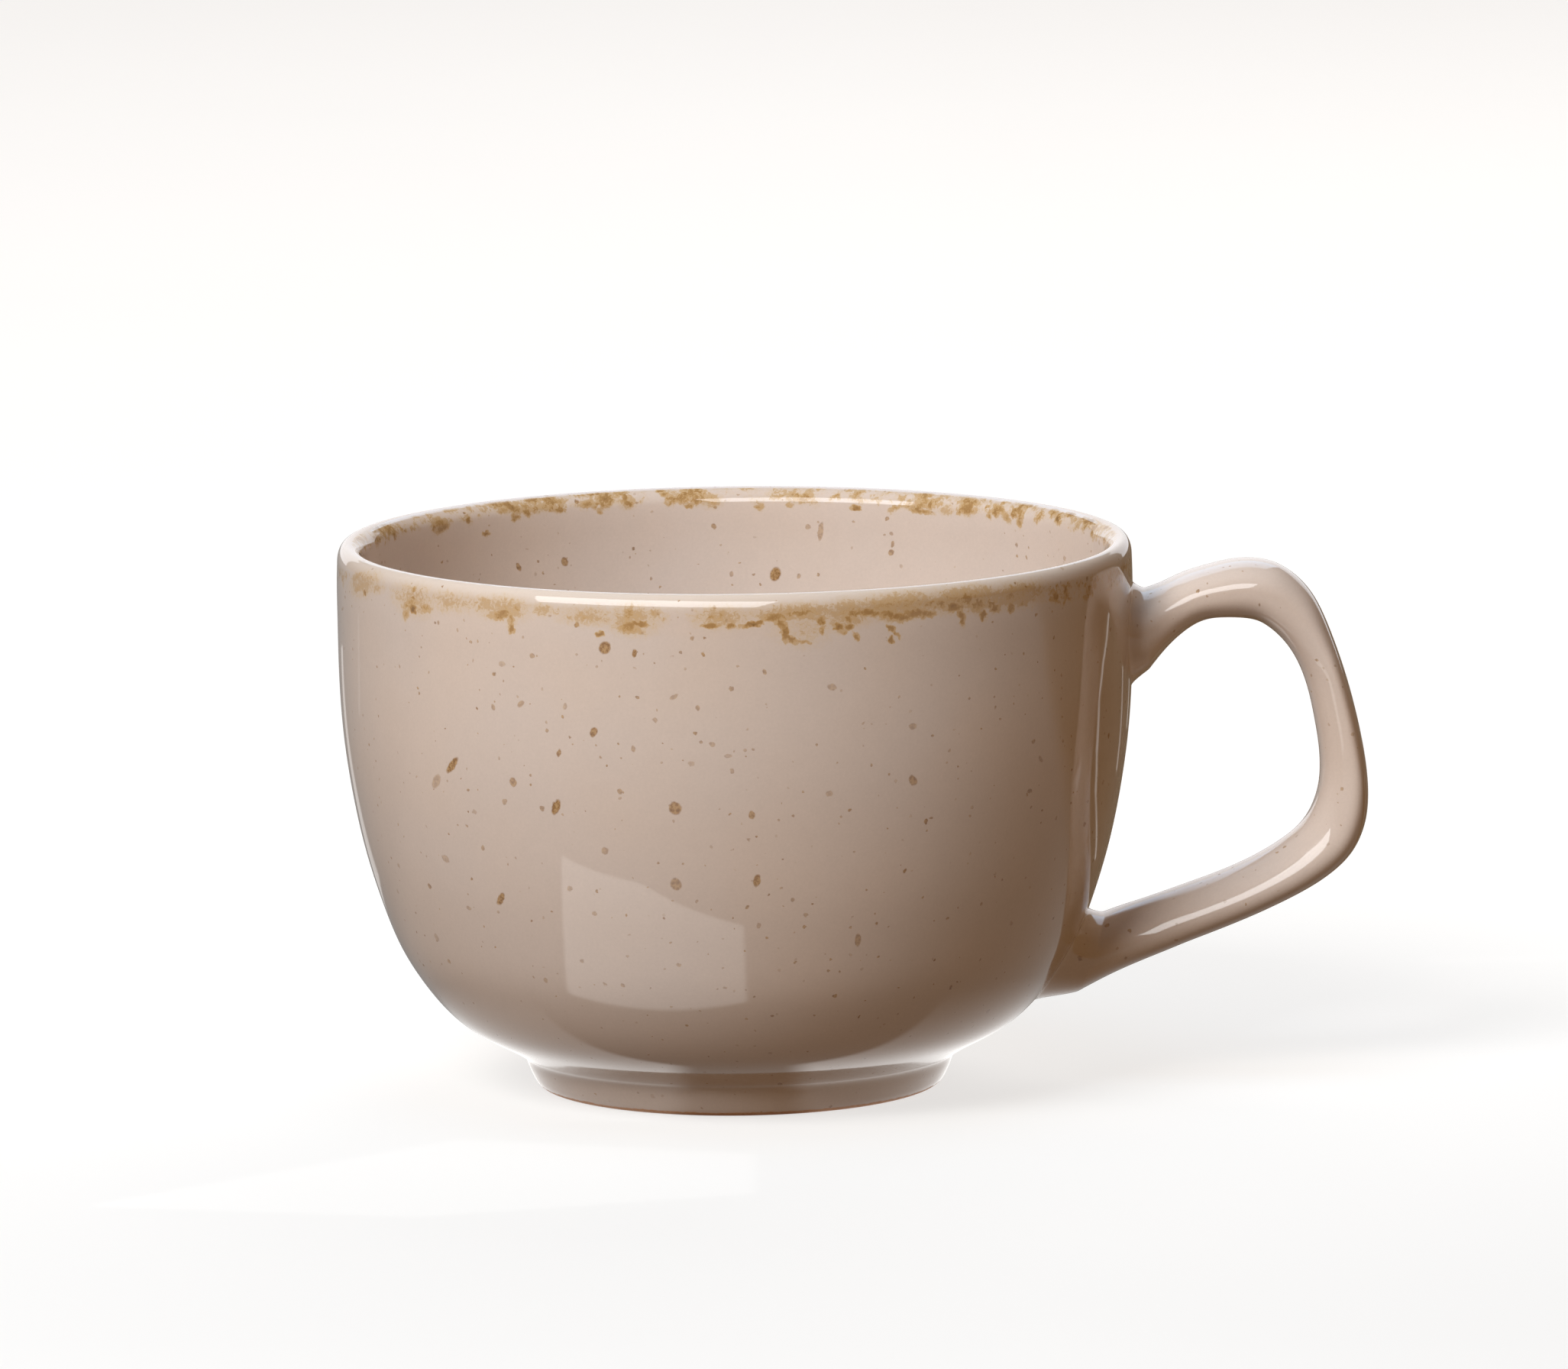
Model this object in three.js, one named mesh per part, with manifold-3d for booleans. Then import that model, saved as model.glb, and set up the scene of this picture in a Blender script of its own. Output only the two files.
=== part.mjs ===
// A glazed stoneware coffee cup: a round bowl on a low foot ring, with a strap
// handle luted on at two places.  Millimetres, +Z up, standing on Z = 0.
// The handle points along +X.  The origin is the middle of the whole cup's
// footprint box, so the bowl's own axis lies at X = BOWL_AXIS_X.

import * as THREE from 'three';
import { mergeVertices } from 'three/addons/utils/BufferGeometryUtils.js';
import Module from 'manifold-3d';

// ---------------------------------------------------------------- dimensions

const RIM_RADIUS = 46.0;        // widest radius, a little below the lip
const CUP_HEIGHT = 63.6;        // top of the lip above the table
const LIP_RIDGE_RADIUS = 44.82; // radius of the highest line of the lip
const LIP_OUTER_RADIUS = 45.92; // outside of the wall where the lip begins
const LIP_INNER_RADIUS = 42.95; // inside of the wall where the lip ends
const LIP_START_Z = 61.6;       // height at which the lip begins to round over
const FLOOR_Z = 7.6;            // inside floor of the bowl
const JOIN_Z = 3.6;             // flat underside of the bowl, where the foot sits
const FOOT_RADIUS = 25.1;       // outside of the foot ring, where it meets the bowl
const FOOT_BORE_TOP = 18.6;     // inside of the foot ring at the bowl
const HANDLE_REACH = 73.15;     // bowl axis to the outside of the handle
const HANDLE_HALF_DEPTH = 5.6;  // half the width of the strap, across the grip
const HANDLE_SQUARENESS = 2.35; // 2 is an ellipse, more is a fuller section
const SLIP_GAP = 0.1;           // hairline between a slip joint and the wall

const ROUND_STEPS = 64;         // facets around the axis
const SECTION_STEPS = 16;       // facets around the handle

const BOWL_AXIS_X = (RIM_RADIUS - HANDLE_REACH) / 2;

// outside of the wall as (radius, height), from the foot to the lip
const OUTER_WALL = [
  [FOOT_RADIUS, JOIN_Z], [25.55, 4.2], [26.15, 4.72], [26.9, 5.13],
  [27.9, 5.56], [30.07, 6.49], [32.42, 8.01], [34.66, 10.11],
  [36.91, 12.97], [39.21, 16.79], [41.13, 21.56], [42.96, 27.47],
  [44.45, 34.34], [45.5, 41.97], [45.92, 49.6], [RIM_RADIUS, 55.8],
  [RIM_RADIUS, 59.6], [LIP_OUTER_RADIUS, LIP_START_Z],
];

// inside of the wall, from the lip down to the middle of the floor
const INNER_WALL = [
  [LIP_INNER_RADIUS, LIP_START_Z], [42.98, 58.0], [42.93, 52.0], [42.6, 45.0],
  [41.9, 38.0], [40.6, 31.0], [38.9, 25.0], [36.7, 20.0], [34.0, 15.8],
  [30.5, 12.2], [26.0, 9.6], [20.0, 8.1], [12.0, 7.65], [0.0, FLOOR_Z],
];

// section of the foot ring, round its outline; the flat at Z = 0 is what stands
const FOOT_SECTION = [
  [22.6, 0.0], [23.15, 0.15], [23.65, 0.6], [24.1, 1.4], [24.55, 2.45],
  [FOOT_RADIUS, JOIN_Z], [FOOT_BORE_TOP, JOIN_Z], [18.9, 1.6], [19.6, 0.5],
  [20.6, 0.0], [22.6, 0.0],
];

// Sections of the handle from the upper root, round the grip, to the lower root.
// Each row: outer point (x, z), inner point (x, z), half depth in Y; x is
// measured from the bowl's axis.
const UPPER_JOINT = [
  [[44.0, 58.8], [44.0, 45.4], 8.6],
  [[46.2, 58.2], [46.2, 46.1], 8.0],
  [[46.8, 57.5], [46.9, 47.2], 7.5],
  [[47.5, 57.2], [47.9, 48.15], 7.05],
];
const UPPER_NECK = [[49.2, 57.8], [49.75, 50.4], 6.25];
const LOWER_NECK = [[43.6, 12.6], [44.4, 19.95], 6.55, 2.4, 2.4, 0.03, 0.24];
const LOWER_JOINT = [
  [[39.3, 10.45], [42.5, 19.25], 7.3, 2.4, 2.4, 0.03, 0.34],
  [[37.4, 9.75], [41.5, 19.35], 7.6],
  [[35.2, 9.4], [40.7, 19.8], 8.0],
  [[31.5, 9.0], [39.0, 20.8], 8.5],
];
// middle of the strap (x, z) and half its thickness, along the grip
const GRIP = [
  [52.95, 56.3, 2.92], [55.7, 56.97, 3.07], [58.53, 57.24, 3.36],
  [61.33, 56.83, 3.44], [63.7, 55.25, 3.22], [65.49, 53.02, 2.82],
  [66.85, 50.51, 2.48], [67.91, 47.85, 2.35], [68.73, 45.1, 2.36],
  [69.37, 42.31, 2.43], [69.9, 39.5, 2.51], [70.24, 36.66, 2.65],
  [70.26, 33.79, 2.89], [69.78, 30.98, 3.16], [68.59, 28.39, 3.29],
  [66.62, 26.33, 3.2], [64.26, 24.7, 3.09], [61.76, 23.32, 3.0],
  [59.17, 22.09, 2.97], [56.52, 20.99, 2.98], [53.84, 19.98, 3.02],
  [51.15, 19.0, 3.06], [48.46, 18.0, 3.14],
];
// by number of the grip point: squareness outside and inside, how much wider
// the section is outside than inside, and how far its inner half is bevelled
const SQUARE_OUT = [[0, 4, 7, 12, 14, 16, 22], [2.35, 2.4, 2.8, 2.8, 2.7, 2.7, 2.6]];
const SQUARE_IN = [[0, 4, 7, 12, 14, 16, 22], [2.35, 2.4, 2.8, 2.8, 2.8, 2.8, 2.6]];
const TAPER = [[0, 4, 7, 12, 15, 20, 22], [0, 0, 0.26, 0.28, 0.06, 0.03, 0.03]];
const BEVEL = [[0, 12, 15, 20, 22], [0, 0, 0.27, 0.27, 0.25]];

// ------------------------------------------------------------------ geometry

const wasm = await Module();
wasm.setup();

function toSolid(geometry) {
  const bare = geometry.clone();
  bare.deleteAttribute('normal');
  bare.deleteAttribute('uv');
  const merged = mergeVertices(bare, 1e-4);
  const index = [];
  for (let i = 0; i < merged.index.count; i += 3) {
    const a = merged.index.getX(i), b = merged.index.getX(i + 1), c = merged.index.getX(i + 2);
    if (a !== b && b !== c && c !== a) index.push(a, b, c);
  }
  return new wasm.Manifold(new wasm.Mesh({
    numProp: 3,
    vertProperties: new Float32Array(merged.attributes.position.array),
    triVerts: new Uint32Array(index),
  }));
}

function toGeometry(solid) {
  const mesh = solid.getMesh();
  const geometry = new THREE.BufferGeometry();
  geometry.setAttribute('position', new THREE.BufferAttribute(new Float32Array(mesh.vertProperties), 3));
  geometry.setIndex(new THREE.BufferAttribute(new Uint32Array(mesh.triVerts), 1));
  geometry.computeVertexNormals();
  return geometry;
}

// a profile of (radius, height) spun about the bowl's axis
function spin(profile) {
  const points = profile.map(([r, z]) => new THREE.Vector2(r, z));
  const geometry = new THREE.LatheGeometry(points, ROUND_STEPS);
  geometry.rotateX(Math.PI / 2);
  return geometry;
}

// points of one handle section: a fuller ellipse between its outer and inner
// point, wider outside than inside or bevelled inside
function sectionPoints([outer, inner, halfDepth, squareOut = HANDLE_SQUARENESS,
  squareIn = HANDLE_SQUARENESS, taper = 0, bevel = 0]) {
  const o = new THREE.Vector2(...outer), i = new THREE.Vector2(...inner);
  const middle = o.clone().add(i).multiplyScalar(0.5);
  const up = o.clone().sub(i).multiplyScalar(0.5);
  const points = [];
  for (let k = 0; k < SECTION_STEPS; k++) {
    const t = (k / SECTION_STEPS) * Math.PI * 2;
    const c = Math.cos(t), s = Math.sin(t);
    const power = 2 / (c > 0 ? squareOut : squareIn);
    const along = Math.sign(c) * Math.pow(Math.abs(c), power);
    const width = halfDepth * (1 + taper * along - bevel * 0.07 * Math.log1p(Math.exp(-along / 0.07)));
    const across = Math.sign(s) * Math.pow(Math.abs(s), power) * width;
    points.push(new THREE.Vector3(middle.x + up.x * along, across, middle.y + up.y * along));
  }
  return points;
}

// value of one of the tables at a grip point
function tableAt(k, [at, value]) {
  let n = 0;
  while (n < at.length - 2 && k > at[n + 1]) n++;
  return value[n] + (value[n + 1] - value[n]) * ((k - at[n]) / (at[n + 1] - at[n]));
}

// a closed solid through a row of sections, with a flat cap at each end
function loft(sections) {
  const rings = sections.map(sectionPoints);
  const position = [], index = [];
  for (const ring of rings) for (const p of ring) position.push(p.x, p.y, p.z);
  const n = SECTION_STEPS;
  for (let r = 0; r + 1 < rings.length; r++) {
    for (let k = 0; k < n; k++) {
      const a = r * n + k, b = r * n + ((k + 1) % n), c = a + n, d = b + n;
      index.push(a, c, b, b, c, d);
    }
  }
  for (const [ring, first, turn] of [[rings[0], 0, 1], [rings.at(-1), (rings.length - 1) * n, -1]]) {
    const middle = ring.reduce((sum, p) => sum.add(p), new THREE.Vector3()).divideScalar(n);
    const hub = position.length / 3;
    position.push(middle.x, middle.y, middle.z);
    for (let k = 0; k < n; k++) {
      const a = first + k, b = first + ((k + 1) % n);
      if (turn > 0) index.push(hub, a, b); else index.push(hub, b, a);
    }
  }
  const geometry = new THREE.BufferGeometry();
  geometry.setAttribute('position', new THREE.Float32BufferAttribute(position, 3));
  geometry.setIndex(index);
  geometry.computeVertexNormals();
  return geometry;
}

// sections square to the middle line of the grip
function gripSections() {
  const line = new THREE.CatmullRomCurve3(
    GRIP.map(([x, z]) => new THREE.Vector3(x, 0, z)), false, 'centripetal');
  return GRIP.map(([x, z, half], k) => {
    const along = line.getTangent(k / (GRIP.length - 1));
    const out = new THREE.Vector2(-along.z, along.x);
    const depth = HANDLE_HALF_DEPTH * (1 - 0.05 * Math.sin((k / (GRIP.length - 1)) * Math.PI));
    return [[x + out.x * half, z + out.y * half], [x - out.x * half, z - out.y * half], depth,
      tableAt(k, SQUARE_OUT), tableAt(k, SQUARE_IN), tableAt(k, TAPER), tableAt(k, BEVEL)];
  });
}

// ------------------------------------------------------------------- pieces

// bowl: flat underside, outer wall, rounded lip, inner wall, floor
const lip = [];
for (const deg of [30, 60, 90]) {
  const a = THREE.MathUtils.degToRad(deg);
  lip.push([LIP_RIDGE_RADIUS + (LIP_OUTER_RADIUS - LIP_RIDGE_RADIUS) * Math.cos(a),
    LIP_START_Z + (CUP_HEIGHT - LIP_START_Z) * Math.sin(a)]);
}
for (const deg of [120, 150]) {
  const a = THREE.MathUtils.degToRad(deg);
  lip.push([LIP_RIDGE_RADIUS + (LIP_RIDGE_RADIUS - LIP_INNER_RADIUS) * Math.cos(a),
    LIP_START_Z + (CUP_HEIGHT - LIP_START_Z) * Math.sin(a)]);
}
const bowlShape = spin([[0, JOIN_Z], [FOOT_BORE_TOP, JOIN_Z], ...OUTER_WALL, ...lip, ...INNER_WALL]);

// foot ring under the bowl
const footShape = spin(FOOT_SECTION);

// the two slip joints are cut to the round of the wall, a hairline off it
const wallBlock = toSolid(spin([
  [0, JOIN_Z], ...OUTER_WALL.map(([r, z]) => [r + SLIP_GAP, z]), [0, LIP_START_Z],
]));
const upperJointShape = toGeometry(toSolid(loft(UPPER_JOINT)).subtract(wallBlock));
const lowerJointShape = toGeometry(toSolid(loft(LOWER_JOINT)).subtract(wallBlock));

// the strap runs from the upper joint, round the grip, to the lower joint
const handleShape = loft([UPPER_JOINT.at(-1), UPPER_NECK, ...gripSections(), LOWER_NECK, LOWER_JOINT[0]]);

// --------------------------------------------------------------------- scene

function piece(name, geometry, color, roughness) {
  const mesh = new THREE.Mesh(geometry, new THREE.MeshStandardMaterial({ color, roughness, metalness: 0 }));
  mesh.name = name;
  return mesh;
}

const cup = new THREE.Group();
cup.name = 'coffee_cup';
cup.position.x = BOWL_AXIS_X;
cup.add(
  piece('bowl', bowlShape, 0xc3ab9a, 0.18),
  piece('foot_ring', footShape, 0xb49c89, 0.25),
  piece('handle', handleShape, 0xc0a896, 0.18),
  piece('upper_handle_joint', upperJointShape, 0xb8a08e, 0.2),
  piece('lower_handle_joint', lowerJointShape, 0xb09886, 0.2),
);

export default cup;
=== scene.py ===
import math

import bpy
import numpy as np
from mathutils import Matrix, Vector


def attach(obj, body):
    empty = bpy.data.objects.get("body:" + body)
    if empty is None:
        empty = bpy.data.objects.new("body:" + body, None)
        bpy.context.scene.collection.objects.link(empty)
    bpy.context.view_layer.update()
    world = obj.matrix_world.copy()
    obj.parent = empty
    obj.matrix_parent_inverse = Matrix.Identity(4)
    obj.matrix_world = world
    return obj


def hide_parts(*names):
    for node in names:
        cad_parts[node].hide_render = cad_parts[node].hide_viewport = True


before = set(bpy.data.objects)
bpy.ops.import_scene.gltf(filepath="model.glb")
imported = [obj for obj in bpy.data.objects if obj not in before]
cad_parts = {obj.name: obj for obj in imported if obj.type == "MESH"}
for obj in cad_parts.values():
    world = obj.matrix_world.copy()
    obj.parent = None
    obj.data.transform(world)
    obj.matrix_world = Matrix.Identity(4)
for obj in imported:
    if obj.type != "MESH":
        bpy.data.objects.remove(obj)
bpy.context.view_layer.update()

scene = bpy.context.scene

# ------------------------------------------------------------------ dimensions
# millimetres; x is measured from the bowl's own axis

AXIS_X = -13.575
ROUND = 288                     # columns round the bowl
LIP_RIDGE = (44.82, 63.6)
LIP_OUT = (45.92, 61.6)
LIP_IN = (42.95, 61.6)
JOIN_Z = 3.6
RIM_Z = 54.0                    # above this the wall carries the brown band
HALF_DEPTH = 5.6
SQUARENESS = 2.35

FOOT_OUTSIDE = [(22.6, 0.0), (23.15, 0.15), (23.65, 0.6), (24.1, 1.4), (24.55, 2.45)]
OUTSIDE = [
    (25.1, 3.6), (25.6, 4.02), (26.22, 4.43), (27.08, 4.94), (28.28, 5.59), (30.07, 6.52),
    (32.42, 8.01), (34.66, 10.11), (36.91, 12.97), (39.21, 16.79), (41.13, 21.56),
    (42.96, 27.47), (44.45, 34.34), (45.5, 41.97), (45.91, 49.6), (45.985, 55.8),
    (45.985, 59.6),
]
INSIDE = [
    (42.98, 58.0), (42.93, 52.0), (42.6, 45.0), (41.9, 38.0), (40.6, 31.0), (38.9, 25.0),
    (36.7, 20.0), (34.0, 15.8), (30.5, 12.2), (26.0, 9.6), (20.0, 8.1), (12.0, 7.65),
]
FOOT_INSIDE = [(20.6, 0.0), (19.6, 0.5), (18.9, 1.6), (18.6, 2.6), (18.6, 3.6)]

UPPER_NECK = [((47.5, 57.2), (47.9, 48.15), 6.95), ((49.2, 57.8), (49.75, 50.4), 6.22)]
LOWER_NECK = [((43.6, 12.6), (44.4, 19.95), 6.5), ((39.3, 10.45), (42.5, 19.2), 7.2)]
GRIP = [
    (52.95, 56.3, 2.92), (55.7, 56.97, 3.07), (58.53, 57.24, 3.36), (61.33, 56.83, 3.44),
    (63.7, 55.25, 3.22), (65.49, 53.02, 2.82), (66.85, 50.51, 2.48), (67.91, 47.85, 2.35),
    (68.73, 45.1, 2.36), (69.37, 42.31, 2.43), (69.9, 39.5, 2.51), (70.24, 36.66, 2.65),
    (70.26, 33.79, 2.87), (69.78, 30.98, 3.16), (68.59, 28.39, 3.29), (66.62, 26.33, 3.2),
    (64.26, 24.7, 3.09), (61.76, 23.32, 3.0), (59.17, 22.09, 2.97), (56.52, 20.99, 2.98),
    (53.84, 19.98, 3.02), (51.15, 19.0, 3.06), (48.46, 18.0, 3.14),
]

# along the grip's points: how square the section is outside and inside, how much wider it is
# outside than inside, and how far its inner half is bevelled
SQUARER = ((0, 4, 7, 12, 14, 16, 22), (2.35, 2.4, 2.8, 2.8, 2.7, 2.7, 2.6))
SQUARER_IN = ((0, 4, 7, 12, 14, 16, 22), (2.35, 2.4, 2.8, 2.8, 2.8, 2.8, 2.6))
TAPER = ((0, 4, 7, 12, 15, 20, 22), (0.0, 0.0, 0.26, 0.28, 0.06, 0.03, 0.03))
BEVEL = ((0, 12, 15, 20, 22), (0.0, 0.0, 0.27, 0.27, 0.25))

# larger specks: degrees from the front towards the handle, height, half length,
# half width, tilt in degrees, strength
SPECKS_OUT = [
    (-45.1, 42.5, 1.36, 0.44, 43, 1.0), (-26.9, 38.9, 0.97, 0.46, 63, 1.0),
    (-8.9, 39.3, 0.74, 0.70, 40, 0.85), (-38.9, 27.3, 0.98, 0.42, 51, 0.95),
    (2.8, 30.8, 0.72, 0.44, 82, 0.9), (-9.2, 30.4, 0.74, 0.64, 108, 0.65),
    (-18.6, 57.5, 0.72, 0.65, 60, 0.95), (-20.5, 47.8, 0.60, 0.43, 55, 0.9),
    (18.9, 23.1, 0.83, 0.39, 97, 0.7), (-48.9, 40.3, 1.05, 0.55, 47, 0.5),
    (-33.8, 41.4, 0.51, 0.47, 101, 0.75), (25.9, 41.6, 0.64, 0.46, 123, 0.75),
    (2.1, 38.5, 0.46, 0.40, 93, 0.8), (-14.3, 57.0, 0.47, 0.29, 90, 0.95),
    (-19.7, 34.1, 0.48, 0.42, 52, 0.55), (-26.0, 45.2, 0.45, 0.27, 75, 0.85),
    (-31.9, 50.5, 0.52, 0.30, 39, 0.6), (13.6, 52.9, 0.53, 0.36, 177, 0.5),
    (-49.3, 31.2, 0.69, 0.45, 168, 0.45), (-35.6, 39.0, 0.38, 0.35, 39, 0.55),
    (-8.7, 52.1, 0.53, 0.27, 35, 0.5), (25.7, 47.8, 0.49, 0.37, 179, 0.5),
    (-29.9, 56.1, 0.35, 0.29, 11, 0.6), (-16.9, 41.1, 0.32, 0.28, 78, 0.65),
    (-57.6, 21.0, 0.54, 0.49, 125, 0.4), (-3.4, 46.7, 0.37, 0.28, 174, 0.5),
    (13.2, 40.7, 0.39, 0.34, 8, 0.45), (-6.4, 44.5, 0.41, 0.30, 168, 0.4),
    (4.0, 54.9, 0.35, 0.23, 99, 0.65), (-14.7, 46.1, 0.36, 0.24, 88, 0.55),
    (-35.0, 54.9, 0.46, 0.32, 3, 0.4), (-24.8, 50.6, 0.39, 0.27, 66, 0.45),
    (3.1, 25.4, 0.38, 0.29, 77, 0.45), (-1.2, 45.4, 0.42, 0.23, 178, 0.4),
    (-5.4, 50.9, 0.32, 0.22, 94, 0.6), (-46.2, 25.6, 0.44, 0.30, 178, 0.45),
    (-40.8, 33.2, 0.33, 0.24, 78, 0.6), (49.4, 42.1, 0.52, 0.28, 132, 0.5),
    (-33.6, 17.8, 0.35, 0.32, 72, 0.5), (8.2, 28.4, 0.28, 0.23, 106, 0.55),
]
SPECKS_IN = [
    (173.5, 53.3, 0.82, 0.64, 115, 1.0), (166.2, 58.5, 1.13, 0.34, 98, 0.6),
    (-152.1, 55.7, 0.55, 0.46, 54, 0.9), (-143.6, 55.6, 0.54, 0.33, 53, 0.9),
    (-176.8, 59.1, 0.38, 0.33, 35, 0.75), (154.4, 56.3, 0.45, 0.34, 155, 0.75),
    (168.2, 59.0, 0.35, 0.33, 126, 0.55), (154.1, 57.3, 0.42, 0.25, 108, 0.7),
    (155.0, 60.3, 0.35, 0.25, 136, 0.7), (169.8, 53.1, 0.30, 0.26, 126, 0.6),
    (-179.5, 53.3, 0.32, 0.25, 98, 0.55), (154.3, 58.6, 0.28, 0.24, 17, 0.55),
]

# the brown band along the lip, where the glaze ran thin over iron-rich slip: its main blots,
# listed like the specks above
BLOTS_OUT = [
    (-70.5, 61.7, 1.7, 0.45, 18, 0.5), (-69.6, 60.5, 1.6, 0.35, 14, 0.55), (-66.9, 60.4, 0.38, 0.32, 0, 0.95),
    (-62.6, 61.3, 1.6, 0.5, 10, 0.36), (-53.4, 60.3, 1.5, 0.65, 12, 0.66), (-52.6, 59.9, 0.58, 0.44, 0, 1.15),
    (-54.3, 59.2, 0.8, 0.6, 40, 0.55), (-52.8, 61.1, 0.42, 0.18, 0, 0.85), (-52.5, 62, 0.35, 0.35, 0, 0.68),
    (-49.8, 60.2, 1, 0.55, 0, 0.6), (-37.6, 61.6, 1.2, 0.55, -22, 0.48), (-35, 60.5, 1.6, 0.55, 10, 0.74),
    (-34.4, 60.8, 0.8, 0.3, 15, 0.85), (-33.3, 60.1, 0.5, 0.9, 0, 0.6), (-33.3, 59, 0.36, 0.5, 0, 0.88),
    (-32.4, 61.4, 0.75, 0.55, 35, 0.56), (-28.3, 61.4, 1.2, 0.6, 0, 0.44), (-21.8, 60.9, 1.2, 0.5, 0, 0.44),
    (-19.3, 59, 0.5, 0.28, 4, 0.95), (-15, 60, 1.1, 0.75, 12, 0.72), (-13.5, 60.3, 1, 0.32, -5, 0.92),
    (-15, 61.4, 1, 0.45, 68, 0.64), (-14.4, 59.5, 1.3, 0.45, 6, 0.55), (-11.5, 61.6, 0.6, 0.45, 0, 0.48),
    (-3.4, 60.2, 0.85, 0.28, 4, 1), (-0.6, 60.15, 0.52, 0.28, 0, 0.9), (-3.2, 61.1, 0.5, 0.28, 0, 0.72),
    (-2, 61.3, 0.7, 0.38, 65, 0.6), (2.4, 60.3, 1.2, 0.27, 12, 1.05), (5.4, 61, 1.3, 0.48, 0, 0.84),
    (6.4, 60.3, 0.65, 0.45, -35, 0.8), (7, 59.2, 0.9, 0.42, 95, 1), (7.9, 58.5, 0.7, 0.32, -32, 0.85),
    (9.4, 58.15, 1, 0.2, 4, 0.64), (12.3, 59.4, 0.5, 0.3, 75, 0.72), (12.2, 60.6, 0.5, 0.5, 0, 0.85),
    (9, 61.4, 2, 0.28, 2, 0.76), (14.6, 59.7, 0.55, 0.4, 0, 1), (15.2, 59.1, 0.6, 0.32, 0, 0.66),
    (16.2, 59.6, 0.46, 0.36, 0, 0.85), (16.1, 60.6, 0.52, 0.44, 0, 0.74), (17.1, 61.1, 1.2, 0.38, 0, 0.76),
    (17.2, 58.5, 0.5, 0.28, -65, 0.72), (19.2, 61.1, 1.6, 0.42, -8, 0.85), (22, 60.8, 1.2, 0.55, -10, 0.82),
    (23.8, 60.4, 1.6, 0.52, 0, 0.86), (26, 60.7, 1.5, 0.48, 0, 0.84), (28, 60.5, 1.2, 0.34, 0, 0.76),
    (22.3, 59.3, 0.52, 0.28, -35, 0.92), (23.2, 58.6, 0.7, 0.2, -42, 0.74), (22.4, 57.9, 0.35, 0.35, 0, 0.95),
    (28.6, 61.6, 0.9, 0.5, 22, 0.66), (30.4, 61.5, 0.8, 0.45, -20, 0.76), (32.5, 61, 0.9, 0.48, 0, 0.95),
    (33.7, 60, 0.7, 0.45, -65, 0.88), (33.9, 59.2, 0.6, 0.34, 90, 0.78), (34.8, 61.8, 0.9, 0.55, 0, 0.84),
    (36.6, 61, 1.2, 0.8, 0, 0.74), (37.5, 59.7, 0.5, 0.48, 0, 0.95), (39.8, 60.2, 0.7, 0.44, 0, 0.76),
    (42.8, 60.1, 0.58, 0.46, 90, 0.76), (42.7, 61.4, 1, 0.5, 0, 0.66), (45.3, 60.5, 0.8, 0.46, 0, 0.6),
    # wide thin washes
    (-68, 61.2, 4, 1.1, 12, 0.42), (-52.5, 60.9, 3.2, 1.4, 0, 0.42), (-44, 61.3, 4, 0.9, 0, 0.36),
    (-35, 61.3, 3.2, 1.1, 0, 0.44), (-21, 61, 3, 0.9, 0, 0.38), (-14.5, 60.7, 2.4, 1.4, 0, 0.44),
    (-2, 61.1, 2.5, 1, 0, 0.44), (9, 61.5, 4.5, 0.9, 0, 0.48), (9.8, 59.7, 2.6, 1.5, 0, 0.26),
    (16, 61.2, 2.5, 1.3, 0, 0.50), (24, 61.8, 5, 1.2, 0, 0.54), (34, 61.8, 5, 1.2, 0, 0.55),
    (44, 61.5, 4.5, 1.2, 0, 0.52),
]
BLOTS_IN = [
    (-231.5, 61.7, 0.8, 0.55, 90, 0.66), (-228.3, 61.8, 0.9, 0.5, 35, 0.7), (-226.5, 62.6, 1.4, 0.34, 22, 0.72),
    (-224.5, 61.6, 0.45, 0.3, 0, 0.66), (-223.8, 62.7, 0.32, 0.25, 0, 0.78), (-215.8, 61.9, 1, 0.6, 0, 0.46),
    (-211, 61.5, 1.6, 0.32, 5, 0.76), (-212.6, 62.4, 0.6, 0.38, 85, 0.76), (-208.5, 62.1, 0.9, 0.38, -22, 0.66),
    (-206.5, 61.7, 0.9, 0.28, -25, 0.66), (-199.6, 61.5, 0.58, 0.3, 0, 1), (-189, 61.5, 0.4, 0.34, 0, 0.58),
    (-184, 61.4, 0.5, 0.3, 0, 0.58), (-176.5, 62.2, 1.2, 0.8, 0, 0.54), (-173, 61.6, 0.6, 0.22, 0, 0.72),
    (-163, 62, 0.8, 0.46, 0, 0.46), (-162.8, 62.9, 0.36, 0.34, 0, 0.9), (-169, 63, 0.5, 0.4, 0, 0.76),
    (-158.3, 61.6, 0.42, 0.38, 0, 0.62), (-156.3, 62.4, 1.1, 0.46, 0, 0.7), (-151.5, 62, 0.46, 0.3, 0, 0.68),
    (-149, 62.5, 1.5, 0.52, 0, 0.56), (-143, 61.6, 0.6, 0.38, 0, 0.72), (-143.5, 62.5, 1, 0.55, 0, 0.66),
    (-141, 62.6, 1.2, 0.46, 0, 0.66), (-137, 60.1, 0.55, 0.26, 0, 1), (-133.2, 62, 0.42, 0.36, 0, 0.95),
    (-127, 61.6, 1.3, 0.5, -15, 0.82), (-126.5, 62.3, 1.3, 0.6, 0, 0.76),
]

# ------------------------------------------------------------------ curve tools


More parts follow.
